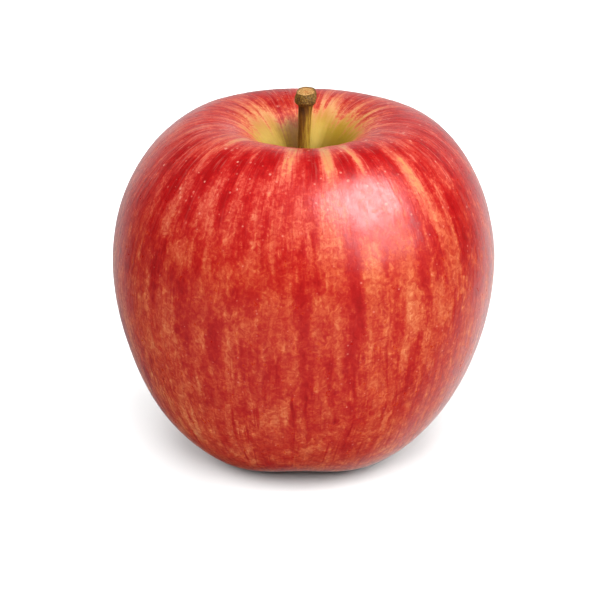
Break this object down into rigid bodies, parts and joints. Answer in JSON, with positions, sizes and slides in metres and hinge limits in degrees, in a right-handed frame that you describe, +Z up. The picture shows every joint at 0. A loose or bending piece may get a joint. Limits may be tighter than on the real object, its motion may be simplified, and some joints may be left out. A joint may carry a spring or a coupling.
{
  "type": "red apple",
  "caption": "Whole ripe red apple with streaked skin, standing upright on the lobes of its base, with its short woody stem in the top cavity and a dried calyx in the basin underneath.",
  "frame": {"origin": "on the resting plane, under the middle of the fruit's bounding box", "axes": "+Z up through the stem, -Y towards the side that faces the viewer in an upright front view, +X to that viewer's right"},
  "size_m": [0.078, 0.078, 0.0764],
  "materials": {
    "apple_skin": "satin waxy fruit skin, dark red streaks along the meridians over orange red, yellow green in the stem cavity",
    "stem_bark": "rough olive brown bark with a pale cut end",
    "dry_sepal": "dry matte brown, downy",
    "dry_stamen": "dry matte dark brown"
  },
  "bodies": {
    "root": {"fruit": "apple_skin", "stem": "stem_bark", "sepal_1": "dry_sepal", "sepal_2": "dry_sepal", "sepal_3": "dry_sepal", "sepal_4": "dry_sepal", "sepal_5": "dry_sepal", "stamen_tuft": "dry_stamen"}
  },
  "joints": []
}
